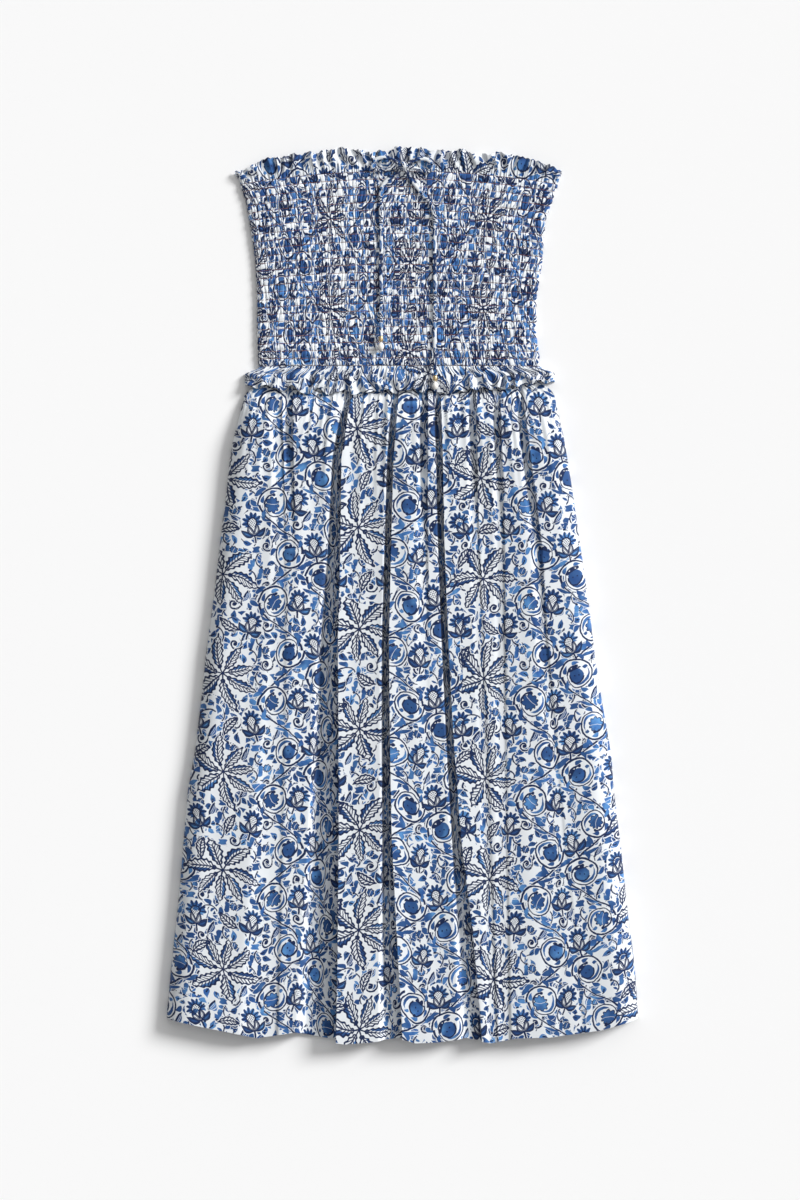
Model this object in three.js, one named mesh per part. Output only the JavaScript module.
import * as THREE from "three";

// Strapless shirred dress, laid flat with its front up. Millimetres, +Z up, +Y towards the neckline.

// Cloth and layers
const GAP = 0.3;
const BACK_BODICE = 2.4;
const BACK_CLOTH = 1.6;
const SHIRRED_CLOTH = 1.8;
const SKIRT_CLOTH = 1.8;
const FRILL_CLOTH = 1.3;

// Levels along the dress
const FIRST_ROW_Y = 508.2;
const WAIST_Y = 275.4;
const SKIRT_TOP_Y = 266;
const SKIRT_TUCK = 11;
const MEAN_HEM_Y = -530;

// Shirring
const STITCH_ROWS = 25;
const GATHERS = 56;
const PUFF = 2.3;
const BODICE_LOFT = 3.2;
const TOP_SAG = 15.6;
const WAIST_SAG = 0.8;

// Skirt
const SKIRT_LOFT = 15;
const GATHER_HEIGHT = 2.6;
const GATHER_FADE = 95;
const STATION_Y = [246, 163, 66, -54, -174, -294, -414, -530];

// Side edges of the dress at each level
const SIDES = [
  { y: 522, left: -201.6, right: 192.6 },
  { y: 508, left: -201, right: 191.4 },
  { y: 498, left: -196.2, right: 187.8 },
  { y: 474, left: -187.2, right: 179.4 },
  { y: 450, left: -183, right: 171 },
  { y: 426, left: -179.4, right: 168.6 },
  { y: 402, left: -175.8, right: 167 },
  { y: 354, left: -173.4, right: 159.6 },
  { y: 306, left: -173.4, right: 160.5 },
  { y: 275, left: -171.6, right: 165 },
  { y: 258, left: -175, right: 170 },
  { y: 240, left: -189, right: 182 },
  { y: 186, left: -203, right: 194 },
  { y: 162, left: -207, right: 198 },
  { y: 114, left: -212, right: 205.5 },
  { y: 66, left: -218, right: 212 },
  { y: -6, left: -226.2, right: 222.6 },
  { y: -78, left: -235.8, right: 231 },
  { y: -126, left: -240.6, right: 238.2 },
  { y: -198, left: -249, right: 250.2 },
  { y: -246, left: -257.4, right: 253.8 },
  { y: -318, left: -263.4, right: 262.2 },
  { y: -366, left: -267, right: 267 },
  { y: -414, left: -271.8, right: 271.8 },
  { y: -462, left: -276.6, right: 277.8 },
  { y: -530, left: -282.6, right: 282.6 },
];

// Upper edge of the neck frill
const NECK_EDGE = [
  { x: -202, y: 508.2 },
  { x: -183, y: 513 },
  { x: -171, y: 522.6 },
  { x: -147, y: 525 },
  { x: -123, y: 529.8 },
  { x: -99, y: 532.2 },
  { x: -75, y: 535.8 },
  { x: -51, y: 532.2 },
  { x: -27, y: 531 },
  { x: -3, y: 535.8 },
  { x: 21, y: 534.6 },
  { x: 45, y: 532.2 },
  { x: 69, y: 533.4 },
  { x: 93, y: 527.4 },
  { x: 117, y: 531 },
  { x: 141, y: 526.2 },
  { x: 165, y: 519 },
  { x: 193, y: 509.4 },
];

// Lower edge of the waist frill
const FRILL_EDGE = [
  { x: -190, y: 253 },
  { x: -165, y: 249 },
  { x: -140, y: 247 },
  { x: -112, y: 245 },
  { x: -84, y: 243 },
  { x: -56, y: 241.5 },
  { x: -28, y: 246 },
  { x: 0, y: 243 },
  { x: 28, y: 246.5 },
  { x: 56, y: 242.5 },
  { x: 84, y: 246 },
  { x: 112, y: 248 },
  { x: 140, y: 252 },
  { x: 181, y: 256 },
];

// Front hem
const HEM_EDGE = [
  { x: -283, y: -505.8 },
  { x: -243, y: -514.2 },
  { x: -207, y: -521.4 },
  { x: -173, y: -528.6 },
  { x: -128, y: -521.4 },
  { x: -70, y: -535.8 },
  { x: -39, y: -533.4 },
  { x: -3, y: -528.6 },
  { x: 15, y: -534.6 },
  { x: 43, y: -533.4 },
  { x: 76, y: -528.6 },
  { x: 105, y: -534.6 },
  { x: 136, y: -528.6 },
  { x: 176, y: -527.4 },
  { x: 236, y: -519 },
  { x: 283, y: -505.8 },
];

// Troughs between the skirt's folds: place, half width and depth at each station from waist to hem
const TROUGHS = [
  {
    place: [-150, -147, -146, -148, -152, -158, -163, -168],
    half: [5, 5, 6, 9, 12, 15, 18, 20],
    depth: [0.3, 0.25, 0.12, 0.1, 0.12, 0.14, 0.16, 0.18],
  },
  {
    place: [-136, -135, -134, -134, -134, -134, -134, -134],
    half: [4, 4, 5, 6, 6, 6, 6, 6],
    depth: [0.6, 0.25, 0.06, 0, 0, 0, 0, 0],
  },
  {
    place: [-64, -78, -81.5, -90, -90, -92, -102, -112],
    half: [3.5, 4.5, 5, 10, 14, 17, 22, 23],
    depth: [0.8, 1, 1, 1, 1, 0.95, 0.9, 0.85],
  },
  {
    place: [-7, -13.5, -16, -19.5, -18.5, -17, -14, -12],
    half: [3, 3, 3.5, 4.5, 6.5, 8, 13, 15],
    depth: [0.8, 0.95, 0.9, 0.85, 0.8, 0.7, 0.55, 0.5],
  },
  {
    place: [27, 26, 25.5, 25.5, 26, 27, 28, 29],
    half: [3.5, 3.5, 4, 5, 6, 6, 6, 6],
    depth: [0.7, 0.45, 0.1, 0.04, 0, 0, 0, 0],
  },
  {
    place: [42.5, 45.5, 47.5, 55, 63, 70, 79, 83],
    half: [5, 4, 4, 4.5, 6, 8, 11, 12],
    depth: [0.8, 0.9, 0.85, 0.8, 0.75, 0.6, 0.5, 0.45],
  },
  {
    place: [84, 85, 87, 92, 97, 101, 105, 108],
    half: [4, 4, 4, 4, 4, 4, 4.5, 5],
    depth: [0.6, 0.3, 0.1, 0.1, 0.1, 0.1, 0.12, 0.15],
  },
  {
    place: [113, 115, 117, 118, 119, 120, 122, 124],
    half: [4.5, 4.5, 4.5, 5, 5, 5, 5, 5],
    depth: [0.5, 0.3, 0.12, 0.1, 0.1, 0.1, 0.1, 0.12],
  },
  {
    place: [139, 149, 161, 168, 178, 186, 196, 204],
    half: [6, 6, 5, 5, 7, 10, 14, 16],
    depth: [0.8, 0.85, 0.7, 0.6, 0.55, 0.45, 0.3, 0.25],
  },
];
const TROUGH_STEPS = [-1.9, -0.85, 0, 0.85, 1.9];
const RIDGE_STEPS = [0.33, 0.67];

// Tie cord
const CORD_RADIUS = 2.2;
const CORD_SIDES = 10;
const LOOP_LEFT = [
  [-5.8, 517.2, 14.6],
  [-12, 521, 13.8],
  [-20, 523.6, 12.8],
  [-28, 523.4, 12.2],
  [-34, 519, 12],
  [-35.8, 512.6, 12.2],
  [-30.5, 508.6, 12.5],
  [-22, 509.6, 12.9],
  [-13, 511.4, 13.6],
  [-5.8, 511.9, 14.5],
];
const LOOP_RIGHT = [
  [6.8, 517.2, 14.6],
  [13, 520.4, 13.8],
  [21, 522.6, 12.8],
  [29, 521.8, 12.2],
  [35.2, 517, 12],
  [36.4, 510.8, 12.3],
  [31, 507.2, 12.6],
  [22, 508.8, 12.9],
  [14, 511.2, 13.6],
  [6.8, 511.9, 14.5],
];
const TAIL_LEFT = [
  [-3.5, 508.2, 13.4],
  [-9, 503, 12.8],
  [-17, 498, 12.6],
  [-23.5, 491, 12.6],
  [-26.2, 480, 12.6],
  [-26, 455, 12.6],
  [-25.6, 425, 12.6],
  [-26, 395, 12.6],
  [-25.6, 365, 12.6],
  [-25.8, 335, 13],
  [-25.8, 310.4, 14.7],
];
const TAIL_RIGHT = [
  [4.4, 508.2, 13.4],
  [9, 500, 12.8],
  [17, 489, 12.6],
  [26, 478, 12.6],
  [34, 467, 12.6],
  [38, 455, 12.6],
  [38.8, 435, 12.6],
  [38.2, 405, 12.6],
  [38.8, 375, 12.6],
  [38.4, 345, 12.6],
  [38.6, 315, 12.7],
  [38.8, 290, 13.4],
  [39, 276, 15.4],
  [39.1, 263.4, 16.6],
];
const BEAD_LENGTH = 6.6;
const BEAD_RADIUS = 3.1;
const DROP_LENGTH = 10.4;
const DROP_RADIUS = 4.1;

// Colours
const PRINTED = { color: 0x8d9fc0, roughness: 0.85 };
const GOLD = { color: 0xd8a850, metalness: 1, roughness: 0.3 };
const PEARL = { color: 0xf2eee6, roughness: 0.25 };

const lerp = THREE.MathUtils.lerp;
const smooth = THREE.MathUtils.smoothstep;

// Value of a table's column between the two rows on each side of a place
function between(table, key, place, column) {
  const last = table.length - 1;
  const rising = table[last][key] > table[0][key];
  let i = 0;
  while (i < last - 1 && (rising ? table[i + 1][key] < place : table[i + 1][key] > place)) i++;
  const share = (place - table[i][key]) / (table[i + 1][key] - table[i][key]);
  return lerp(table[i][column], table[i + 1][column], THREE.MathUtils.clamp(share, 0, 1));
}

function sideAt(y, share) {
  return lerp(between(SIDES, "y", y, "left"), between(SIDES, "y", y, "right"), share);
}

// Rises from 0 at a panel's side edges to 1 inside
function roundOff(share, reach) {
  const near = Math.min(share, 1 - share) / reach;
  return near >= 1 ? 1 : Math.sqrt(1 - (1 - near) ** 2);
}

// Triangles between two rows of points, which may differ in number
function strip(upper, lower) {
  const faces = [];
  let i = 0;
  let j = 0;
  while (i < upper.length - 1 || j < lower.length - 1) {
    const nextUpper = (i + 1) / (upper.length - 1);
    const nextLower = (j + 1) / (lower.length - 1);
    if (j < lower.length - 1 && (i === upper.length - 1 || nextLower <= nextUpper)) {
      faces.push([upper[i], lower[j], lower[j + 1]]);
      j++;
    } else {
      faces.push([upper[i], lower[j], upper[i + 1]]);
      i++;
    }
  }
  return faces;
}

// Four triangles round the raised middle of one cell
function puff(a, b, c, d, middle) {
  return [
    [a, b, middle],
    [b, c, middle],
    [c, d, middle],
    [d, a, middle],
  ];
}

// Closed wall between an outer and an inner grid, with optional raised middles on the outer side
function wall(outer, inner, middles) {
  const faces = [];
  for (let r = 0; r < outer.length - 1; r++) {
    if (middles?.[r]) {
      middles[r].forEach((middle, c) =>
        faces.push(...puff(outer[r][c], outer[r + 1][c], outer[r + 1][c + 1], outer[r][c + 1], middle)),
      );
    } else {
      faces.push(...strip(outer[r], outer[r + 1]));
    }
  }
  for (let r = 0; r < inner.length - 1; r++) faces.push(...strip(inner[r + 1], inner[r]));
  const side = (grid, c) => grid.map((row) => row.at(c));
  faces.push(...strip(inner[0], outer[0]), ...strip(outer.at(-1), inner.at(-1)));
  faces.push(...strip(side(outer, 0), side(inner, 0)), ...strip(side(inner, -1), side(outer, -1)));
  const geometry = new THREE.BufferGeometry();
  geometry.setAttribute("position", new THREE.Float32BufferAttribute(faces.flat(2), 3));
  geometry.computeVertexNormals();
  return geometry;
}

function grid(rows, columns, point) {
  return Array.from({ length: rows + 1 }, (_, r) =>
    Array.from({ length: columns + 1 }, (_, c) => point(r / rows, c / columns)),
  );
}

// Bodice, from the first stitch row down to the waist
function bodicePlace(down, share) {
  const bow = (2 * share - 1) ** 2;
  const middle = lerp(FIRST_ROW_Y, WAIST_Y, down);
  const sag = lerp(TOP_SAG, WAIST_SAG, down);
  return [sideAt(middle - sag, share), middle - sag * bow];
}

function bodiceInside(share) {
  return BACK_BODICE + GAP + BODICE_LOFT * roundOff(share, 0.16);
}

function bodiceFront() {
  const edge = (share) => Math.min(1, roundOff(share, 0.05) + 0.25);
  const outer = grid(STITCH_ROWS, GATHERS, (down, share) => {
    const [x, y] = bodicePlace(down, share);
    return [x, y, bodiceInside(share) + SHIRRED_CLOTH * edge(share)];
  });
  const middles = Array.from({ length: STITCH_ROWS }, (_, r) =>
    Array.from({ length: GATHERS }, (_, c) => {
      const share = (c + 0.5) / GATHERS;
      const [x, y] = bodicePlace((r + 0.5) / STITCH_ROWS, share);
      const height = PUFF * (0.85 + 0.15 * Math.sin(2.3 * c + 1.7 * r));
      return [x, y, bodiceInside(share) + SHIRRED_CLOTH + height * edge(share)];
    }),
  );
  const inner = grid(4, 18, (down, share) => [...bodicePlace(down, share), bodiceInside(share)]);
  return wall(outer, inner, middles);
}

function bodiceBack() {
  const sheet = (z) => grid(10, 12, (down, share) => [...bodicePlace(down, share), z]);
  return wall(sheet(BACK_BODICE), sheet(0));
}

// Neck frill, from its upper edge down to the first stitch row
function neckPlace(down, share, drop) {
  const low = bodicePlace(0, share)[1];
  const x = sideAt(FIRST_ROW_Y - TOP_SAG * down, share);
  const high = between(NECK_EDGE, "x", x, "y") - drop;
  return [x, lerp(high, low + GAP, down)];
}

function neckFrillFront() {
  const waves = 60;
  const inside = (down, share) => {
    const beat = 0.5 + 0.5 * Math.cos(Math.PI * waves * share);
    return bodiceInside(share) + (1.9 - 1.2 * down) * beat * roundOff(share, 0.05);
  };
  const face = (lift) =>
    grid(3, waves, (down, share) => {
      const [x, y] = neckPlace(down, share, 0);
      return [x, y, inside(down, share) + lift];
    });
  return wall(face(FRILL_CLOTH), face(0));
}

function neckFrillBack() {
  const face = (z) => grid(2, 30, (down, share) => [...neckPlace(down, share, 2.5), z]);
  return wall(face(BACK_CLOTH), face(0));
}

// Waist frill, from the waist seam down over the top of the skirt
function frillPlace(down, share) {
  const flare = 17.5 * smooth(down, 0, 0.45);
  const seam = WAIST_Y - GAP - WAIST_SAG * (2 * share - 1) ** 2;
  const x = sideAt(WAIST_Y, share) + flare * (2 * share - 1);
  return [x, lerp(seam, between(FRILL_EDGE, "x", x, "y"), down)];
}

function waistFrillFront() {
  const waves = 52;
  const inside = (down, share) => {
    const edge = roundOff(share, 0.045);
    const beat = 0.5 + 0.5 * Math.cos(Math.PI * waves * share);
    const slow = 0.5 + 0.5 * Math.sin(23 * share + 1.2);
    const high = 8.7 + (0.5 + 2.2 * down) * beat * (0.45 + 0.55 * slow);
    return lerp(BACK_CLOTH + GAP, lerp(bodiceInside(share), high, smooth(down, 0, 0.3)), edge);
  };
  const face = (lift) =>
    grid(4, waves, (down, share) => {
      const [x, y] = frillPlace(down, share);
      return [x, y, inside(down, share) + lift];
    });
  return wall(face(FRILL_CLOTH), face(0));
}

function waistFrillBack() {
  const face = (z) => grid(2, 28, (down, share) => [...frillPlace(down, share), z]);
  return wall(face(BACK_CLOTH), face(0));
}

// Skirt, tucked in under the waist frill
function backSkirtUnder(y) {
  return (BACK_CLOTH + GAP) * smooth(y, 210, 238);
}

function skirtSide(y, share) {
  return sideAt(y, share) - SKIRT_TUCK * smooth(y, 245, 261) * (2 * share - 1);
}

function hemAt(x, rise) {
  return between(HEM_EDGE, "x", x, "y") + rise;
}

function troughAt(trough, column, y) {
  const stations = STATION_Y.map((level, i) => ({ level, value: trough[column][i] }));
  return between(stations, "level", y, "value");
}

// Places across the skirt at one level: troughs, their shoulders and the ridges between them
function skirtColumns(y) {
  const found = [];
  let from = skirtSide(y, 0);
  found.push(from, from + 4);
  from += 14;
  for (const trough of TROUGHS) {
    const place = troughAt(trough, "place", y);
    const half = troughAt(trough, "half", y);
    const marks = TROUGH_STEPS.map((step) => place + step * half);
    const start = found.at(-1);
    const room = marks[0] - start;
    RIDGE_STEPS.forEach((step) => found.push(start + Math.max(room, 1.2) * step));
    marks.forEach((mark) => found.push(Math.max(mark, found.at(-1) + 0.5)));
  }
  const start = found.at(-1);
  const end = skirtSide(y, 1);
  [0.3, 0.6].forEach((step) => found.push(lerp(start, end - 4, step)));
  found.push(end - 4, end);
  return found;
}

// Height of the folds over the back panel
function foldHeight(x, y, index) {
  const left = x - skirtSide(y, 0);
  const right = skirtSide(y, 1) - x;
  const near = Math.min(1, Math.min(left, right) / 46);
  const side = Math.sqrt(Math.max(0, 1 - (1 - near) ** 2));
  const fall = smooth(-y, -250, -190);
  const loft = SKIRT_LOFT * fall * (0.86 + 0.14 * smooth(-y, -60, 500));
  let open = 1;
  for (const trough of TROUGHS) {
    const away = (x - troughAt(trough, "place", y)) / troughAt(trough, "half", y);
    open *= 1 - troughAt(trough, "depth", y) * Math.exp(-(away ** 2) / 1.1);
  }
  const fade = smooth(y, SKIRT_TOP_Y - GATHER_FADE, SKIRT_TOP_Y - 8);
  const gather = GATHER_HEIGHT * fade * (index % 2);
  return side * (loft * open + gather * (1 - 0.6 * fall));
}

function skirtFront() {
  const rows = 17;
  const levels = Array.from({ length: rows + 1 }, (_, r) =>
    lerp(SKIRT_TOP_Y, MEAN_HEM_Y, (r / rows) ** 1.25),
  );
  const inner = levels.map((level, r) =>
    skirtColumns(level).map((x, index) => {
      const y = lerp(SKIRT_TOP_Y, hemAt(x, 0), (SKIRT_TOP_Y - level) / (SKIRT_TOP_Y - MEAN_HEM_Y));
      const rest = backSkirtUnder(level + 9) + BACK_CLOTH + GAP;
      return [x, y, rest + foldHeight(x, level, index)];
    }),
  );
  const outer = inner.map((row) =>
    row.map(([x, y, z], i) => {
      const before = row[Math.max(0, i - 1)];
      const after = row[Math.min(row.length - 1, i + 1)];
      const slope = (after[2] - before[2]) / (after[0] - before[0]);
      return [x, y, z + SKIRT_CLOTH * Math.min(1.5, Math.hypot(1, slope))];
    }),
  );
  return wall(outer, inner);
}

function skirtBack() {
  const levels = [SKIRT_TOP_Y, 252, 238, 231, 224, 217, 210, 60, -90, -240, -390, MEAN_HEM_Y];
  const face = (lift) =>
    levels.map((level) =>
      Array.from({ length: 19 }, (_, c) => {
        const x = skirtSide(level, c / 18);
        const y = level > MEAN_HEM_Y ? level : hemAt(x, 5);
        return [x, y, backSkirtUnder(level) + lift];
      }),
    );
  return wall(face(BACK_CLOTH), face(0));
}

// Tie cord, its knot and the charms on its ends
function cord(points) {
  const path = new THREE.CatmullRomCurve3(points.map((p) => new THREE.Vector3(...p)), false, "centripetal");
  const turn = (i) => (2 * Math.PI * i) / CORD_SIDES;
  const ring = Array.from({ length: CORD_SIDES }, (_, i) => [Math.cos(turn(i)), Math.sin(turn(i))]);
  const round = new THREE.Shape(ring.map(([x, y]) => new THREE.Vector2(CORD_RADIUS * x, CORD_RADIUS * y)));
  const steps = Math.round(path.getLength() / (4.6 * CORD_RADIUS));
  return new THREE.ExtrudeGeometry(round, {
    extrudePath: path,
    steps: Math.max(steps, 18),
  });
}

function turned(profile, sides, place, along) {
  const shape = new THREE.LatheGeometry(profile.map((p) => new THREE.Vector2(...p)), sides);
  const up = new THREE.Vector3(0, 1, 0);
  shape.applyQuaternion(new THREE.Quaternion().setFromUnitVectors(up, along.clone().normalize()));
  return shape.translate(...place);
}

function knot() {
  const profile = [
    [0, -5.9],
    [2.6, -5.6],
    [3.3, -3.4],
    [4.6, -2.2],
    [5, 0],
    [4.6, 2.2],
    [3.3, 3.4],
    [2.6, 5.6],
    [0, 5.9],
  ];
  return turned(profile, 14, [0.5, 514.4, 15.2], new THREE.Vector3(1, 0, 0));
}

function bead(cordPoints) {
  const [x, y, z] = cordPoints.at(-1);
  const end = BEAD_LENGTH / 2;
  const profile = [
    [0, -end],
    [1.6, -end],
    [BEAD_RADIUS, -0.9],
    [BEAD_RADIUS, 0.9],
    [1.8, end],
    [0, end],
  ];
  return turned(profile, 12, [x, y - GAP - end, z], new THREE.Vector3(0, 1, 0));
}

function drop(cordPoints) {
  const [x, y, z] = cordPoints.at(-1);
  const end = DROP_LENGTH / 2;
  const profile = [
    [0, -end],
    [DROP_RADIUS * 0.62, -end * 0.86],
    [DROP_RADIUS * 0.98, -end * 0.4],
    [DROP_RADIUS * 0.95, 0.2],
    [DROP_RADIUS * 0.6, end * 0.6],
    [1, end],
    [0, end],
  ];
  return turned(profile, 14, [x, y - 2 * GAP - BEAD_LENGTH - end, z], new THREE.Vector3(0, 1, 0));
}

const dress = new THREE.Group();

function add(name, geometry, look) {
  const mesh = new THREE.Mesh(geometry, new THREE.MeshStandardMaterial(look));
  mesh.name = name;
  dress.add(mesh);
}

add("bodice_front", bodiceFront(), PRINTED);
add("bodice_back", bodiceBack(), PRINTED);
add("neck_frill_front", neckFrillFront(), PRINTED);
add("neck_frill_back", neckFrillBack(), PRINTED);
add("waist_frill_front", waistFrillFront(), PRINTED);
add("waist_frill_back", waistFrillBack(), PRINTED);
add("skirt_front", skirtFront(), PRINTED);
add("skirt_back", skirtBack(), PRINTED);
add("tie_knot", knot(), PRINTED);
add("tie_loop_left", cord(LOOP_LEFT), PRINTED);
add("tie_loop_right", cord(LOOP_RIGHT), PRINTED);
add("tie_tail_left", cord(TAIL_LEFT), PRINTED);
add("tie_tail_right", cord(TAIL_RIGHT), PRINTED);
add("bead_left", bead(TAIL_LEFT), GOLD);
add("bead_right", bead(TAIL_RIGHT), GOLD);
add("drop_left", drop(TAIL_LEFT), PEARL);
add("drop_right", drop(TAIL_RIGHT), PEARL);

export default dress;
